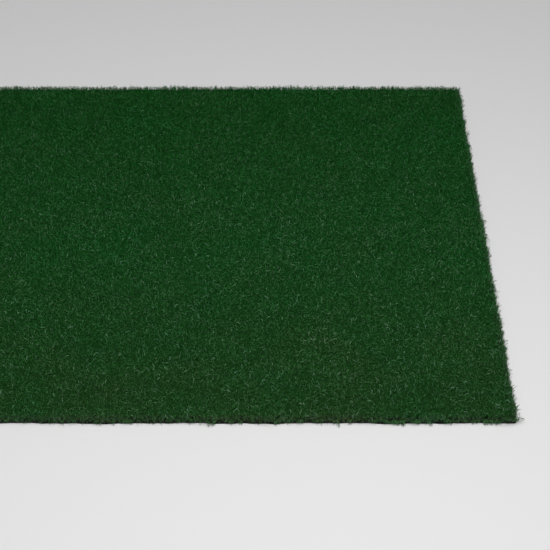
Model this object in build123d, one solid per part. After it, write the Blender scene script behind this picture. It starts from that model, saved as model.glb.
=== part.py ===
from build123d import *

import os

# Golf hitting mat: a rectangle of dense tufted turf laminated to a thin foam underlay.
#
# The mat lies flat on the ground. X runs along its long side, which is also the way the tufting
# rows run, Y runs across the rows and Z is up. The origin is the middle of the underside.
#
# From the ground up the layers are the foam underlay, the film of laminating adhesive, the latex
# precoat, the woven primary backing and the cut pile. Each row of pile is one yarn. It passes up
# through the backing to make the pile and runs along under the backing from tuft to tuft, where
# the precoat grips it. Those runs are the back stitches. All layers are cut to one outline.

# Driving dimensions, in millimetres.
MAT_LENGTH = 1524.0
MAT_DEPTH = 914.4
FOAM_THICKNESS = 2.0
ADHESIVE_THICKNESS = 0.2
PRECOAT_THICKNESS = 0.8
BACKING_THICKNESS = 0.5
PILE_HEIGHT = 12.5
ROW_GAUGE = 3.97
STITCH_WIDTH = 1.6
STITCH_THICKNESS = 0.5

# Levels, counted up from the ground.
FOAM_TOP = FOAM_THICKNESS
ADHESIVE_TOP = FOAM_TOP + ADHESIVE_THICKNESS
PRECOAT_TOP = ADHESIVE_TOP + PRECOAT_THICKNESS
BACKING_TOP = PRECOAT_TOP + BACKING_THICKNESS
PILE_TOP = BACKING_TOP + PILE_HEIGHT

# The rows sit evenly about the middle of the mat, at least half a gauge in from its edges.
ROW_COUNT = int(MAT_DEPTH / ROW_GAUGE)
FIRST_ROW = -(ROW_COUNT - 1) * ROW_GAUGE / 2
ROW_PLACES = [FIRST_ROW + row * ROW_GAUGE for row in range(ROW_COUNT)]


def layer(bottom, thickness):
    """A flat layer of the mat's full outline, standing on the level called bottom."""
    centre_height = bottom + thickness / 2
    return Pos(0, 0, centre_height) * Box(MAT_LENGTH, MAT_DEPTH, thickness)


def foam_underlay():
    """The closed-cell foam sheet that the mat lies on."""
    return layer(0, FOAM_THICKNESS)


def laminating_adhesive():
    """The film that bonds the coated turf to the foam."""
    return layer(FOAM_TOP, ADHESIVE_THICKNESS)


def latex_precoat():
    """The latex coat, whose upper face is grooved where it has flowed round the back stitches."""
    half_length = MAT_LENGTH / 2
    half_depth = MAT_DEPTH / 2
    groove_floor = PRECOAT_TOP - STITCH_THICKNESS
    outline = [(-half_depth, ADHESIVE_TOP), (-half_depth, PRECOAT_TOP)]
    for place in ROW_PLACES:
        near_wall = place - STITCH_WIDTH / 2
        far_wall = place + STITCH_WIDTH / 2
        outline += [
            (near_wall, PRECOAT_TOP),
            (near_wall, groove_floor),
            (far_wall, groove_floor),
            (far_wall, PRECOAT_TOP),
        ]
    outline += [(half_depth, PRECOAT_TOP), (half_depth, ADHESIVE_TOP)]
    with BuildPart() as coat:
        with BuildSketch(Plane.YZ.offset(-half_length)):
            with BuildLine():
                Polyline(*outline, close=True)
            make_face()
        extrude(amount=MAT_LENGTH)
    return coat.part


def back_stitches():
    """One flat run of yarn under each row of tufts, as separate solids."""
    centre_height = PRECOAT_TOP - STITCH_THICKNESS / 2
    run = Box(MAT_LENGTH, STITCH_WIDTH, STITCH_THICKNESS)
    return Compound([Pos(0, place, centre_height) * run for place in ROW_PLACES])


def primary_backing():
    """The woven polypropylene cloth that the yarns are tufted through."""
    return layer(PRECOAT_TOP, BACKING_THICKNESS)


def turf_pile():
    """The cut pile, as the block of space that its standing yarn ends fill."""
    return layer(BACKING_TOP, PILE_HEIGHT)


NODES = {
    "foam_underlay": foam_underlay,
    "laminating_adhesive": laminating_adhesive,
    "latex_precoat": latex_precoat,
    "back_stitches": back_stitches,
    "primary_backing": primary_backing,
    "turf_pile": turf_pile,
}

os.makedirs("parts", exist_ok=True)
for node, make in NODES.items():
    export_step(make(), f"parts/{node}.step")
print(f"{ROW_COUNT} rows, pile top at {PILE_TOP:.1f} mm")
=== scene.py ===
import math

import bpy
import numpy as np
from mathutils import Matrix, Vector


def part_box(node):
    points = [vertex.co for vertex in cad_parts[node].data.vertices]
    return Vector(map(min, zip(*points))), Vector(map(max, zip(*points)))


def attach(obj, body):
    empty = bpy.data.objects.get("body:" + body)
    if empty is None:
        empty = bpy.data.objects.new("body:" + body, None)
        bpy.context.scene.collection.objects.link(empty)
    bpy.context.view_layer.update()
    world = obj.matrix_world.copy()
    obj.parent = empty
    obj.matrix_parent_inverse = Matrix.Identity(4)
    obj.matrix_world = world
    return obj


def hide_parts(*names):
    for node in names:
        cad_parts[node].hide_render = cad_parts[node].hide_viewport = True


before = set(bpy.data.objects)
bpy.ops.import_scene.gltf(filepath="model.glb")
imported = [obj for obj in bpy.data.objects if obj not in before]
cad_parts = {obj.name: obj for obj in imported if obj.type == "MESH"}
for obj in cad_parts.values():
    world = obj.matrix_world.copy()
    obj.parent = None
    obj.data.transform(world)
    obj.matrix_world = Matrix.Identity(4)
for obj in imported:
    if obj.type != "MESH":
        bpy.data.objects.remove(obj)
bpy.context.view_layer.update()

MM = 0.001
SEED = 479

# The CAD box and the levels of the layers.
pile_low, pile_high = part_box("turf_pile")
backing_low, backing_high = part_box("primary_backing")
foam_low, foam_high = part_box("foam_underlay")
HALF_LENGTH = pile_high.x
HALF_DEPTH = pile_high.y
PILE_ROOT = pile_low.z
PILE_TOP = pile_high.z

# The tufting: rows across the depth, stitches along each row, and the blades seen in each tuft.
ROW_GAUGE = 3.97 * MM
STITCH_GAUGE = 3.2 * MM
BLADES_PER_TUFT = 3
STRIPS = 12
STANDING_SHARE = 0.72

# One blade of texturised yarn, and the matted core of the pile that the blades stand over.
BLADE_WIDTH = 0.66 * MM
BLADE_STEPS = 3
CORE_TOP = PILE_TOP - 3.9 * MM
CORE_PITCH = 6 * MM
CORE_LUMPS = 0.8 * MM

# The cut edges: a stand of blades along them, loose ends of yarn beyond them, and frayed tapes.
EDGE_PITCH = 0.2 * MM
EDGE_STAND = 6.5 * MM
EDGE_STEPS = 4
WISP_PITCH = 8 * MM
FRAY_PITCH = 2.4 * MM
LAYER_PITCH = 3 * MM
TAPE_LEVEL = (backing_low.z + backing_high.z) / 2

# A blade of the stand hangs over the backing where its clump's random value and its own add up
# to more than the level. The clump's part is limited, so that some of its blades still stand.
OVERHANG_LEVEL = 0.93
CLUMP_LIMIT = 1.3

# Near a corner the blades splay outwards, less at the back corners, and the cut runs true.
CORNER_REACH = 28 * MM
BACK_SPLAY = 0.3

# How the knife wandered: the size of each wave, its length in metres and its start in radians.
CUT_WANDER = (
    (0.75 * MM, 0.23, 1.0),
    (0.6 * MM, 0.083, 2.6),
    (0.35 * MM, 0.031, 4.4),
)

# The least height above the ground of each kind of loose blade, by its centre line.
EDGE_CLEARANCE = 0.5 * MM
WISP_CLEARANCE = 0.4 * MM
TAPE_CLEARANCE = 0.7 * MM

# The greatest height of the loose ends of yarn.
WISP_CEILING = PILE_TOP + 1.2 * MM

# The camera, at the angle that the mat is looked at from.
LENS_MM = 100.0
SENSOR_MM = 36.0
CAMERA_PITCH = math.radians(38.49)
CAMERA_HEIGHT = 1.564
CAMERA_STAND_OFF = 1.617
CAMERA_FROM_RIGHT = 0.353

# The studio: a wide floor, a soft box over the front of the mat and an even light from above.
FLOOR_REACH = 30.0
FLOOR_GREY = 0.8
KEY_PLACE = (0.5, -0.85, 1.7)
KEY_AIM = (0.5, -0.85, 0.0)
KEY_SIZE = 1.5
KEY_POWER = 18.7
OVERHEAD_SOURCE = (0.0, -0.5, 1.0)
OVERHEAD_SPREAD = math.radians(45)
OVERHEAD_POWER = 1.26
SKY_HORIZON = 0.42
SKY_OVERHEAD = 0.12
SKY_FADE = 0.3

BLACK = (0.0, 0.0, 0.0)


# ---------------------------------------------------------------- meshes

def mesh_object(name, points, faces, smooth=True):
    """An object from an array of points and an array of faces with one corner count."""
    mesh = bpy.data.meshes.new(name)
    corners = faces.shape[1]
    mesh.vertices.add(len(points))
    mesh.vertices.foreach_set("co", points.astype(np.float32).ravel())
    mesh.loops.add(faces.size)
    mesh.loops.foreach_set("vertex_index", faces.astype(np.int32).ravel())
    mesh.polygons.add(len(faces))
    mesh.polygons.foreach_set("loop_start", np.arange(0, faces.size, corners, dtype=np.int32))
    mesh.polygons.foreach_set("use_smooth", np.full(len(faces), smooth))
    mesh.update(calc_edges=True)
    thing = bpy.data.objects.new(name, mesh)
    bpy.context.scene.collection.objects.link(thing)
    return thing


def point_values(thing, name, values):
    """Stores one number for each point of the mesh, for its material to read."""
    attribute = thing.data.attributes.new(name, "FLOAT", "POINT")
    attribute.data.foreach_set("value", values.astype(np.float32).ravel())


def blade_lines(steps, heading, length, rise, fall, curl):
    """Centre lines that start at the origin, climb at the angle rise and turn over to fall."""
    share = (np.arange(steps) + 0.5) / steps
    climb = rise[:, None] + (fall - rise)[:, None] * share**1.2
    heading = heading[:, None] + curl[:, None] * (share - 0.3)
    stride = (length / steps)[:, None]
    moves = np.stack(
        [
            stride * np.cos(climb) * np.cos(heading),
            stride * np.cos(climb) * np.sin(heading),
            stride * np.sin(climb),
        ],
        axis=-1,
    )
    lines = np.zeros((len(length), steps + 1, 3))
    lines[:, 1:] = np.cumsum(moves, axis=1)
    return lines


def blade_sides(lines, roll, twist):
    """The direction across each blade at each point of its centre line."""
    along = np.gradient(lines, axis=1)
    along /= np.linalg.norm(along, axis=2, keepdims=True) + 1e-12
    level = np.stack([-along[..., 1], along[..., 0], np.zeros(along.shape[:2])], axis=-1)
    level /= np.linalg.norm(level, axis=2, keepdims=True) + 1e-12
    upright = np.cross(along, level)
    turn = roll[:, None] + twist[:, None] * np.linspace(0, 1, lines.shape[1])
    return level * np.cos(turn)[..., None] + upright * np.sin(turn)[..., None]


def cell_layout(count, rings):
    """A cell of the bake image for each blade, so that no two blades share a texel."""
    columns = math.ceil(math.sqrt(count * 2.7))
    rows = math.ceil(count / columns)
    cell = np.arange(count)
    left = (cell % columns + 0.2) / columns
    right = (cell % columns + 0.8) / columns
    height = (np.linspace(0.08, 0.92, rings) + (cell // columns)[:, None]) / rows
    flat = np.empty((count, rings, 2, 2))
    flat[:, :, 0, 0] = left[:, None]
    flat[:, :, 1, 0] = right[:, None]
    flat[..., 1] = height[..., None]
    return flat


def blades(name, lines, sides, width, shade, reach=None):
    """Ribbons along the centre lines, as one piece with its values for colour.

    A blade's colour runs from the root to the tip, or only as far as its reach between them.
    """
    count, rings = lines.shape[:2]
    half = sides * (width / 2)[:, None, None]
    points = np.stack([lines - half, lines + half], axis=2)
    ring = np.arange(count * rings).reshape(count, rings)[:, :-1].ravel()
    faces = np.stack([2 * ring, 2 * ring + 1, 2 * ring + 3, 2 * ring + 2], axis=1)
    thing = mesh_object(name, points.reshape(-1, 3), faces)
    flat = cell_layout(count, rings).reshape(-1, 2)
    layer = thing.data.uv_layers.new(name="OFBake")
    layer.data.foreach_set("uv", flat[faces.ravel()].astype(np.float32).ravel())
    point_values(thing, "shade", np.repeat(shade, rings * 2))
    reach = np.ones(count) if reach is None else reach
    point_values(thing, "along", np.outer(reach, np.repeat(np.linspace(0, 1, rings), 2)))
    return thing


# ---------------------------------------------------------------- materials

def new_material(name):
    """A material with its node tree and its shader."""
    material = bpy.data.materials.new(name)
    material.use_nodes = True
    tree = material.node_tree
    return material, tree, tree.nodes["Principled BSDF"]


def node(tree, kind, **values):
    """A new node with its settings."""
    made = tree.nodes.new(kind)
    for key, value in values.items():
        setattr(made, key, value)
    return made


def grey(value):
    """A grey as the three parts of a colour."""
    return (value,) * 3


def ramp(tree, source, stops):
    """The colour that the source reaches on a ramp of places and colours."""
    made = node(tree, "ShaderNodeValToRGB")
    elements = made.color_ramp.elements
    while len(elements) < len(stops):
        elements.new(0.5)
    for element, (place, colour) in zip(elements, stops):
        element.position = place
        element.color = (*colour, 1)
    tree.links.new(source, made.inputs[0])
    return made.outputs[0]


def mix(tree, kind, share, first, second):
    """Two colours mixed, where each of the three values is a number, a colour or a socket."""
    made = node(tree, "ShaderNodeMix", data_type="RGBA", blend_type=kind)
    sockets = (made.inputs[0], made.inputs[6], made.inputs[7])
    for socket, value in zip(sockets, (share, first, second)):
        if isinstance(value, bpy.types.NodeSocket):
            tree.links.new(value, socket)
        else:
            socket.default_value = value
    return made.outputs[2]


def noise(tree, scale, detail=2.0, roughness=0.5):
    """Noise in the object's own space, from 0 to 1."""
    place = node(tree, "ShaderNodeTexCoord")
    made = node(tree, "ShaderNodeTexNoise")
    made.inputs["Scale"].default_value = scale
    made.inputs["Detail"].default_value = detail
    made.inputs["Roughness"].default_value = roughness
    tree.links.new(place.outputs["Object"], made.inputs["Vector"])
    return made.outputs["Fac"]


def front_to_back(tree):
    """From 0 at the front edge to 1 at the back edge."""
    place = node(tree, "ShaderNodeTexCoord")
    parts = node(tree, "ShaderNodeSeparateXYZ")
    made = node(tree, "ShaderNodeMapRange")
    made.inputs["From Min"].default_value = -HALF_DEPTH
    made.inputs["From Max"].default_value = HALF_DEPTH
    tree.links.new(place.outputs["Object"], parts.inputs[0])
    tree.links.new(parts.outputs["Y"], made.inputs["Value"])
    return made.outputs["Result"]


def bumped(tree, shader, height, depth):
    """Gives the shader a bump of that depth from the height."""
    bump = node(tree, "ShaderNodeBump")
    bump.inputs["Distance"].default_value = depth
    tree.links.new(height, bump.inputs["Height"])
    tree.links.new(bump.outputs["Normal"], shader.inputs["Normal"])


def tinted_front_to_back(tree, colour, tints):
    """The colour multiplied by a tint that changes from the front of the mat, through the middle, to
    the back.
    """
    front, middle, back = tints
    tint = ramp(tree, front_to_back(tree), [(0.05, front), (0.42, middle), (0.88, back)])
    return mix(tree, "MULTIPLY", 1.0, colour, tint)


def yarn_material(name, root, middle, tip, painted_highlight, tints):
    """Texturised yarn with painted highlights, in a few pale strands and in fine glints, and its tint
    at three depths.

    Its colours run from the root of a blade to the tip, with painted shade at the darker root. The
    painted highlights fade towards the back.
    """
    material, tree, shader = new_material(name)
    along = node(tree, "ShaderNodeAttribute", attribute_name="along").outputs["Fac"]
    shade = node(tree, "ShaderNodeAttribute", attribute_name="shade").outputs["Fac"]
    # Painted shade: the colour is darker at the root of a blade, where it stands deep in the pile.
    height = ramp(tree, along, [(0.0, root), (0.45, middle), (1.0, tip)])
    lift = ramp(tree, shade, [(0.0, grey(0.93)), (0.5, grey(1.0)), (0.9, grey(1.05))])
    blade = mix(tree, "MULTIPLY", 1.0, height, lift)
    wear = ramp(tree, noise(tree, 24.0, 3.0), [(0.3, grey(0.9)), (0.7, grey(1.1))])
    mottled_and_tinted = tinted_front_to_back(tree, mix(tree, "MULTIPLY", 1.0, blade, wear), tints)
    # Painted highlights: the blades with the highest shade values take the pale highlight colour.
    pale = ramp(tree, shade, [(0.9, BLACK), (1.0, grey(1.0))])
    pale_strands = mix(tree, "MIX", pale, mottled_and_tinted, (*painted_highlight, 1))
    # Painted glints: fine noise mixes in the pale highlight colour.
    glint = ramp(tree, noise(tree, 950.0, 1.0), [(0.55, BLACK), (0.74, grey(0.62))])
    with_glints = mix(tree, "MIX", glint, pale_strands, (*painted_highlight, 1))
    # The painted highlights fade towards the back of the mat.
    seen = ramp(tree, front_to_back(tree), [(0.5, grey(1.0)), (0.9, grey(0.55))])
    highlights_fading = mix(tree, "MIX", seen, mottled_and_tinted, with_glints)
    warm = (1.24, 0.985, 1.05)
    cool = (0.78, 1.015, 0.96)
    drift = ramp(tree, noise(tree, 9.0, 3.0), [(0.3, warm), (0.7, cool)])
    tree.links.new(mix(tree, "MULTIPLY", 1.0, highlights_fading, drift), shader.inputs["Base Color"])
    shader.inputs["Roughness"].default_value = 0.42
    shader.inputs["Specular IOR Level"].default_value = 0.18
    shader.inputs["Sheen Weight"].default_value = 0.02
    shader.inputs["Sheen Roughness"].default_value = 0.5
    return material


def core_material(tints):
    """The matted lower part of the pile, dark with painted shade, and darker still with painted shade
    in its hollows.
    """
    material, tree, shader = new_material("pile_core")
    # Painted shade: the core's dark colours stand for the shade deep in the pile.
    shaded_hollow = (0.0017, 0.021, 0.003)
    lit_lump = (0.0076, 0.082, 0.012)
    colour = ramp(tree, noise(tree, 420.0, 4.0, 0.6), [(0.32, shaded_hollow), (0.72, lit_lump)])
    tree.links.new(tinted_front_to_back(tree, colour, tints), shader.inputs["Base Color"])
    bumped(tree, shader, noise(tree, 700.0, 3.0, 0.6), 0.8 * MM)
    shader.inputs["Roughness"].default_value = 0.9
    shader.inputs["Specular IOR Level"].default_value = 0.05
    return material


def plain_grain_material(name, dark, light, scale, depth, roughness, specular=0.15):
    """A dull moulded, coated or woven surface with a fine grain of that scale and depth."""
    material, tree, shader = new_material(name)
    grain = noise(tree, scale, 4.0, 0.6)
    tree.links.new(ramp(tree, grain, [(0.3, dark), (0.7, light)]), shader.inputs["Base Color"])
    bumped(tree, shader, grain, depth)
    shader.inputs["Roughness"].default_value = roughness
    shader.inputs["Specular IOR Level"].default_value = specular
    return material


TURF_TINTS = ((1.75, 0.83, 0.95), (1.02, 0.93, 0.92), (0.75, 0.9, 0.75))
turf = yarn_material(
    "turf_yarn",
    root=(0.006, 0.063, 0.010),
    middle=(0.0090, 0.102, 0.0148),
    tip=(0.0117, 0.147, 0.019),
    painted_highlight=(0.15, 0.297, 0.174),
    tints=TURF_TINTS,
)
cut_yarn = yarn_material(
    "cut_yarn",
    root=(0.043, 0.108, 0.037),
    middle=(0.043, 0.150, 0.039),
    tip=(0.018, 0.088, 0.020),
    painted_highlight=(0.155, 0.28, 0.155),
    tints=((1.05, 0.94, 0.95), (0.9, 0.97, 0.95), (0.6, 0.9, 0.8)),
)
core = core_material(TURF_TINTS)
foam_skin = plain_grain_material(
    "foam",
    dark=(0.002, 0.002, 0.0022),
    light=(0.007, 0.007, 0.0075),
    scale=900.0,
    depth=0.15 * MM,
    roughness=0.9,
    specular=0.02,
)
backing_tape = plain_grain_material(
    "backing",
    dark=(0.004, 0.005, 0.004),
    light=(0.014, 0.016, 0.014),
    scale=500.0,
    depth=0.2 * MM,
    roughness=0.8,
    specular=0.05,
)
latex = plain_grain_material(
    "latex",
    dark=(0.014, 0.014, 0.014),
    light=(0.035, 0.035, 0.034),
    scale=350.0,
    depth=0.2 * MM,
    roughness=0.75,
)
adhesive = plain_grain_material(
    "adhesive",
    dark=(0.02, 0.02, 0.019),
    light=(0.05, 0.05, 0.048),
    scale=200.0,
    depth=0.1 * MM,
    roughness=0.45,
)
stitch_yarn = plain_grain_material(
    "stitch_yarn",
    dark=(0.008, 0.03, 0.008),
    light=(0.02, 0.07, 0.02),
    scale=600.0,
    depth=0.1 * MM,
    roughness=0.7,
)


def give(thing, material):
    """Makes the material the only one of the piece."""
    thing.data.materials.clear()
    thing.data.materials.append(material)


# ---------------------------------------------------------------- the pile

rng = np.random.default_rng(SEED)


def strip_of_pile(number, rows):
    """One strip of the pile: the blades that are seen in the tufts of some rows."""
    stitches = int(2 * HALF_LENGTH / STITCH_GAUGE)
    across = (np.arange(stitches) + 0.5) * STITCH_GAUGE - HALF_LENGTH
    x, y = (place.ravel() for place in np.meshgrid(across, rows))
    x = np.repeat(x, BLADES_PER_TUFT)
    y = np.repeat(y, BLADES_PER_TUFT)
    count = len(x)
    length = rng.normal(8.2, 1.7, count).clip(4, 12) * MM
    heading = rng.uniform(0, 2 * math.pi, count)
    rise = np.radians(rng.uniform(50, 90, count))
    standing = rng.random(count) < STANDING_SHARE
    fall = np.radians(np.where(standing, rng.uniform(30, 88, count), rng.uniform(-60, 5, count)))
    curl = rng.normal(0, 1.5, count)
    lines = blade_lines(BLADE_STEPS, heading, length, rise, fall, curl)
    peak = lines[..., 2].max(axis=1)
    top = PILE_TOP - np.abs(rng.normal(0.2, 0.6, count)).clip(0, 2.4) * MM
    lines[..., 2] += (top - peak)[:, None]
    middle = lines[:, :, :2].mean(axis=1)
    lines[..., 0] += (x + rng.normal(0, 1.2 * MM, count) - middle[:, 0])[:, None]
    lines[..., 1] += (y + rng.normal(0, 1.3 * MM, count) - middle[:, 1])[:, None]
    sides = blade_sides(lines, rng.normal(0, 0.45, count), rng.normal(0, 1.1, count))
    width = BLADE_WIDTH * rng.uniform(0.7, 1.15, count)
    return blades(f"pile_strip_{number:02d}", lines, sides, width, rng.random(count))


def pile_core():
    """The lumpy mass of the lower pile, closed down to the backing, inside the stand at the cut."""
    columns = int(2 * HALF_LENGTH / CORE_PITCH)
    lanes = int(2 * HALF_DEPTH / CORE_PITCH)
    x = np.linspace(-HALF_LENGTH + EDGE_STAND, HALF_LENGTH - EDGE_STAND, columns)
    y = np.linspace(-HALF_DEPTH + EDGE_STAND, HALF_DEPTH - EDGE_STAND, lanes)
    grid_x, grid_y = np.meshgrid(x, y)
    height = CORE_TOP + rng.normal(0, CORE_LUMPS, grid_x.shape)
    upper = np.stack([grid_x, grid_y, height], axis=-1).reshape(-1, 3)
    lower = np.stack([grid_x, grid_y, np.full(grid_x.shape, PILE_ROOT)], axis=-1).reshape(-1, 3)
    index = np.arange(columns * lanes).reshape(lanes, columns)
    corners = [index[:-1, :-1], index[:-1, 1:], index[1:, 1:], index[1:, :-1]]
    cells = np.stack(corners, axis=-1).reshape(-1, 4)
    rim = np.concatenate([index[0, :], index[1:, -1], index[-1, -2::-1], index[-2:0:-1, 0]])
    after = np.roll(rim, -1)
    offset = columns * lanes
    walls = np.stack([rim + offset, after + offset, after, rim], axis=1)
    faces = np.concatenate([cells, cells[:, ::-1] + offset, walls])
    return mesh_object("pile_core", np.concatenate([upper, lower]), faces)


def along_the_cut(pitch, jitter):
    """Places about pitch apart along the knife's cut, with their outward heading.

    The last array is each place's nearness to a corner, from 0 to 1. Between the corners the knife
    wanders a little off the straight outline, the same for every layer.
    """
    corners = [(-1, -1), (1, -1), (1, 1), (-1, 1)]
    x, y, out = [], [], []
    for number, (first, second) in enumerate(zip(corners, corners[1:] + corners[:1])):
        start = np.array(first) * (HALF_LENGTH, HALF_DEPTH)
        end = np.array(second) * (HALF_LENGTH, HALF_DEPTH)
        count = int(np.linalg.norm(end - start) / pitch)
        share = ((np.arange(count) + rng.uniform(0.5 - jitter, 0.5 + jitter, count)) / count)[:, None]
        place = start + (end - start) * share
        x.append(place[:, 0])
        y.append(place[:, 1])
        out.append(np.full(count, math.radians(-90 + 90 * number)))
    x, y, out = (np.concatenate(part) for part in (x, y, out))
    gap = np.hypot(HALF_LENGTH - np.abs(x), HALF_DEPTH - np.abs(y))
    corner = np.exp(-gap / CORNER_REACH)
    run = x * np.sin(out) - y * np.cos(out)
    waves = [size * np.sin(2 * math.pi * run / wave + begin + out) for size, wave, begin in CUT_WANDER]
    wander = sum(waves) * (1 - corner)
    return x + np.cos(out) * wander, y + np.sin(out) * wander, out, corner


def place_lines(lines, x, y, out, inset, level):
    """Moves the centre lines to their places on the cut edge, inset from it and up to level."""
    lines[..., 0] += (x - np.cos(out) * inset)[:, None]
    lines[..., 1] += (y - np.sin(out) * inset)[:, None]
    lines[..., 2] += level if np.isscalar(level) else level[:, None]
    return lines


def cut_edge_pile():
    """The stand of blades at the cut, seen at full height, with some that hang over the backing."""
    x, y, out, corner = along_the_cut(EDGE_PITCH, 0.5)
    count = len(x)
    tuft = (np.arange(count) * EDGE_PITCH / STITCH_GAUGE).astype(int)
    tufts = tuft.max() + 1
    clump = np.convolve(rng.normal(0, 1, tufts), np.ones(2) / math.sqrt(2), "same")[tuft]
    overhanging = np.minimum(clump, CLUMP_LIMIT) + rng.normal(0, 0.6, count) > OVERHANG_LEVEL
    hung_inset = rng.normal(2.0, 0.6, count) * MM
    inset = np.where(overhanging, hung_inset, rng.uniform(0.3 * MM, EDGE_STAND, count))
    inset += rng.normal(0, 0.9 * MM, tufts)[tuft]
    length = rng.normal(13.4, 1.3, count).clip(9, 16) * MM - 0.8 * inset
    length = np.where(overhanging, rng.uniform(4, 8.5, count) * MM, length)
    lean = rng.normal(0, 9, tufts)[tuft]
    splay = corner * np.where(y < 0, 1, BACK_SPLAY) * (1 - inset / EDGE_STAND).clip(0, 1)
    rise = np.radians(rng.normal(86, 6, count) - lean - 30 * splay)
    rise = np.where(overhanging, np.radians(rng.uniform(0, 50, count)), rise)
    fall = np.radians(rng.normal(66, 28, count) - lean - 42 * splay)
    fall = np.where(overhanging, np.radians(rng.uniform(-95, -65, count)), fall)
    heading = out + rng.normal(0, 0.9, count) * np.where(overhanging, 0.5, 1 - 0.5 * splay)
    lines = blade_lines(EDGE_STEPS, heading, length, rise, fall, rng.normal(0, 1.5, count))
    tallest = PILE_TOP - PILE_ROOT + 0.4 * MM
    peak = lines[..., 2].max(axis=1).clip(MM)
    lines[..., 2] *= np.minimum(1, tallest / peak)[:, None]
    level = PILE_ROOT + np.where(overhanging, rng.uniform(0.0, 4.0, count) * MM, 0)
    lines = place_lines(lines, x, y, out, inset, level)
    lines[..., 2] = lines[..., 2].clip(EDGE_CLEARANCE)
    sides = blade_sides(lines, rng.normal(0, 0.9, count), rng.normal(0, 1.6, count))
    width = BLADE_WIDTH * rng.uniform(0.75, 1.2, count)
    reach = np.where(overhanging, 1.0, 0.75)
    # Blades that hang over take only low shade values, so none of them becomes a pale strand with a
    # painted highlight.
    shade = rng.random(count) * np.where(overhanging, 0.6, 1.0)
    return blades("pile_cut_edge", lines, sides, width, shade, reach)


def stray_wisps():
    """The loose ends of yarn that stick out past the cut edge, each one a small bundle of fibres."""
    x, y, out, _ = along_the_cut(WISP_PITCH, 0.5)
    ends = len(x)
    length = rng.gamma(3.0, 2.2, ends).clip(2.5, 14) * MM
    heading = out + rng.normal(0, 0.45, ends)
    rise = rng.uniform(-5, 35, ends)
    fall = rng.uniform(-50, -5, ends)
    level = PILE_ROOT + rng.uniform(0.2, 3.5, ends) * MM
    fibres = rng.geometric(0.21, ends).clip(1, 12)
    x, y, out, length, heading, rise, fall, level = (
        np.repeat(part, fibres) for part in (x, y, out, length, heading, rise, fall, level)
    )
    count = len(x)
    length = length * rng.uniform(0.7, 1.0, count)
    heading = heading + rng.normal(0, 0.16, count)
    rise = np.radians(rise + rng.normal(0, 8, count))
    fall = np.radians(fall + rng.normal(0, 10, count))
    lines = blade_lines(EDGE_STEPS, heading, length, rise, fall, rng.normal(0, 0.8, count))
    x = x + rng.normal(0, 0.5 * MM, count)
    y = y + rng.normal(0, 0.5 * MM, count)
    lines = place_lines(lines, x, y, out, 2.0 * MM, level)
    lines[..., 2] = lines[..., 2].clip(WISP_CLEARANCE, WISP_CEILING)
    sides = blade_sides(lines, rng.normal(0, 1.0, count), rng.normal(0, 1.6, count))
    width = np.full(count, 0.75 * BLADE_WIDTH)
    # The loose ends take only low shade values, so none of them becomes a pale strand with a painted
    # highlight.
    return blades("stray_wisps", lines, sides, width, 0.6 * rng.random(count))


def frayed_tapes():
    """The cut ends of the backing's tapes, which fray a little past the edge."""
    x, y, out, _ = along_the_cut(FRAY_PITCH, 0.4)
    count = len(x)
    length = rng.gamma(3.0, 0.5, count).clip(0.6, 4) * MM + 1.5 * MM
    rise = np.radians(rng.normal(0, 12, count))
    fall = np.radians(rng.normal(-14, 18, count))
    heading = out + rng.normal(0, 0.35, count)
    lines = blade_lines(2, heading, length, rise, fall, rng.normal(0, 0.6, count))
    lines = place_lines(lines, x, y, out, 1.5 * MM, TAPE_LEVEL)
    lines[..., 2] = lines[..., 2].clip(TAPE_CLEARANCE)
    sides = blade_sides(lines, rng.normal(0, 0.3, count), rng.normal(0, 0.4, count))
    width = rng.uniform(0.5, 1.3, count) * MM
    return blades("backing_fray", lines, sides, width, rng.random(count))


def cut_layer(name, low, high, levels, rough):
    """A closed layer of the mat with a knife-cut edge that wavers by rough."""
    x, y, out, corner = along_the_cut(LAYER_PITCH, 0.0)
    count = len(x)
    jumps = np.tile(rng.normal(0, rough, count), 3)
    waver = np.convolve(jumps, np.ones(4) / 2, "same")[count:2 * count] * (1 - corner)
    rings = []
    for level in np.linspace(low, high, levels):
        push = waver + rng.normal(0, rough / 3, count) * (1 - corner) - rough / 2
        ring = [x + np.cos(out) * push, y + np.sin(out) * push, np.full(count, level)]
        rings.append(np.stack(ring, axis=1))
    first = np.arange(count)
    after = np.roll(first, -1)
    underside = list(range(count))[::-1]
    upper_side = [count * (levels - 1) + n for n in range(count)]
    faces = [underside, upper_side]
    for ring in range(levels - 1):
        base = ring * count
        quads = [first + base, after + base, after + base + count, first + base + count]
        faces += np.stack(quads, axis=1).tolist()
    mesh = bpy.data.meshes.new(name)
    mesh.from_pydata(np.concatenate(rings).tolist(), [], faces)
    mesh.update()
    thing = bpy.data.objects.new(name, mesh)
    bpy.context.scene.collection.objects.link(thing)
    return thing


# ---------------------------------------------------------------- the pieces

row_count = int(2 * HALF_DEPTH / ROW_GAUGE)
row_places = (np.arange(row_count) - (row_count - 1) / 2) * ROW_GAUGE
pile_pieces = [strip_of_pile(n + 1, rows) for n, rows in enumerate(np.array_split(row_places, STRIPS))]
for piece in pile_pieces:
    give(piece, turf)
edge_pieces = [cut_edge_pile(), stray_wisps()]
for piece in edge_pieces:
    give(piece, cut_yarn)
pile_pieces += edge_pieces
mass = pile_core()
give(mass, core)
pile_pieces.append(mass)
for piece in pile_pieces:
    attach(piece, "root")
    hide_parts("turf_pile")

foam = cut_layer("foam_pad", foam_low.z, foam_high.z, 6, 0.2 * MM)
give(foam, foam_skin)
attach(foam, "root")
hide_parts("foam_underlay")

cloth = cut_layer("backing_cloth", backing_low.z, backing_high.z, 2, 0.15 * MM)
fray = frayed_tapes()
for piece in (cloth, fray):
    give(piece, backing_tape)
    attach(piece, "root")
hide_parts("primary_backing")

for name, material in {
    "laminating_adhesive": adhesive,
    "latex_precoat": latex,
    "back_stitches": stitch_yarn,
}.items():
    give(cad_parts[name], material)


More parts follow.
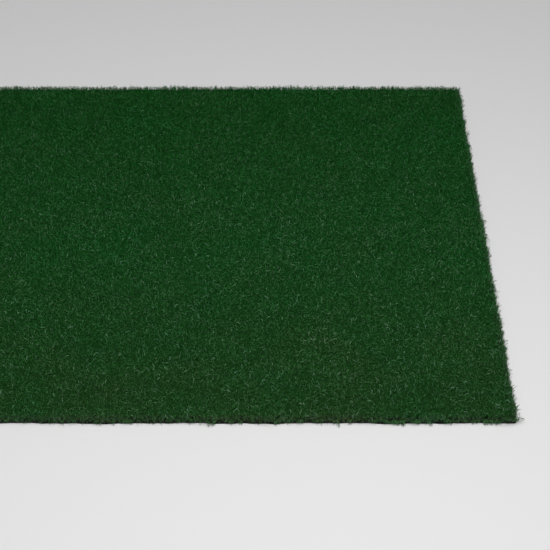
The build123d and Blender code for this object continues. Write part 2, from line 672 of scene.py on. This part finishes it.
# ---------------------------------------------------------------- the studio

def studio_floor():
    """A plain pale floor."""
    reach = FLOOR_REACH
    corners = np.array([[-reach, -reach, 0], [reach, -reach, 0], [reach, reach, 0], [-reach, reach, 0]])
    floor = mesh_object("floor", corners, np.array([[0, 1, 2, 3]]), smooth=False)
    material, tree, shader = new_material("floor")
    shader.inputs["Base Color"].default_value = (*grey(FLOOR_GREY), 1)
    shader.inputs["Roughness"].default_value = 1.0
    shader.inputs["Specular IOR Level"].default_value = 0.0
    give(floor, material)


def studio_world():
    """A sky that is pale at the horizon, where it meets the floor, and dimmer overhead."""
    world = bpy.data.worlds.new("studio")
    world.use_nodes = True
    tree = world.node_tree
    direction = node(tree, "ShaderNodeTexCoord")
    parts = node(tree, "ShaderNodeSeparateXYZ")
    level = node(tree, "ShaderNodeMapRange")
    level.inputs["From Max"].default_value = SKY_FADE
    level.inputs["To Min"].default_value = SKY_HORIZON
    level.inputs["To Max"].default_value = SKY_OVERHEAD
    tree.links.new(direction.outputs["Generated"], parts.inputs[0])
    tree.links.new(parts.outputs["Z"], level.inputs["Value"])
    tree.nodes["Background"].inputs["Color"].default_value = (1, 1, 1, 1)
    tree.links.new(level.outputs["Result"], tree.nodes["Background"].inputs["Strength"])
    bpy.context.scene.world = world


def placed(name, data, place, rotation):
    """A lamp or a camera in the scene."""
    holder = bpy.data.objects.new(name, data)
    holder.location = place
    holder.rotation_euler = rotation
    bpy.context.scene.collection.objects.link(holder)
    return holder


def facing(direction):
    """The rotation that points a lamp in the direction."""
    return Vector(direction).to_track_quat("-Z", "Y").to_euler()


def soft_box():
    """The key light, a square panel over the front of the mat."""
    lamp = bpy.data.lights.new("key", "AREA")
    lamp.shape = "SQUARE"
    lamp.size = KEY_SIZE
    lamp.energy = KEY_POWER
    placed("key", lamp, KEY_PLACE, facing(Vector(KEY_AIM) - Vector(KEY_PLACE)))


def overhead_light():
    """The even light from above, with soft shadows."""
    lamp = bpy.data.lights.new("overhead", "SUN")
    lamp.angle = OVERHEAD_SPREAD
    lamp.energy = OVERHEAD_POWER
    placed("overhead", lamp, (0, 0, 0), facing(-Vector(OVERHEAD_SOURCE)))


def studio_camera():
    """A long lens that looks down at the front right corner."""
    lens = bpy.data.cameras.new("camera")
    lens.lens = LENS_MM
    lens.sensor_width = SENSOR_MM
    place = (HALF_LENGTH - CAMERA_FROM_RIGHT, -HALF_DEPTH - CAMERA_STAND_OFF, CAMERA_HEIGHT)
    bpy.context.scene.camera = placed("camera", lens, place, (math.pi / 2 - CAMERA_PITCH, 0, 0))


studio_floor()
studio_world()
soft_box()
overhead_light()
studio_camera()
bpy.context.scene.view_settings.view_transform = "Standard"
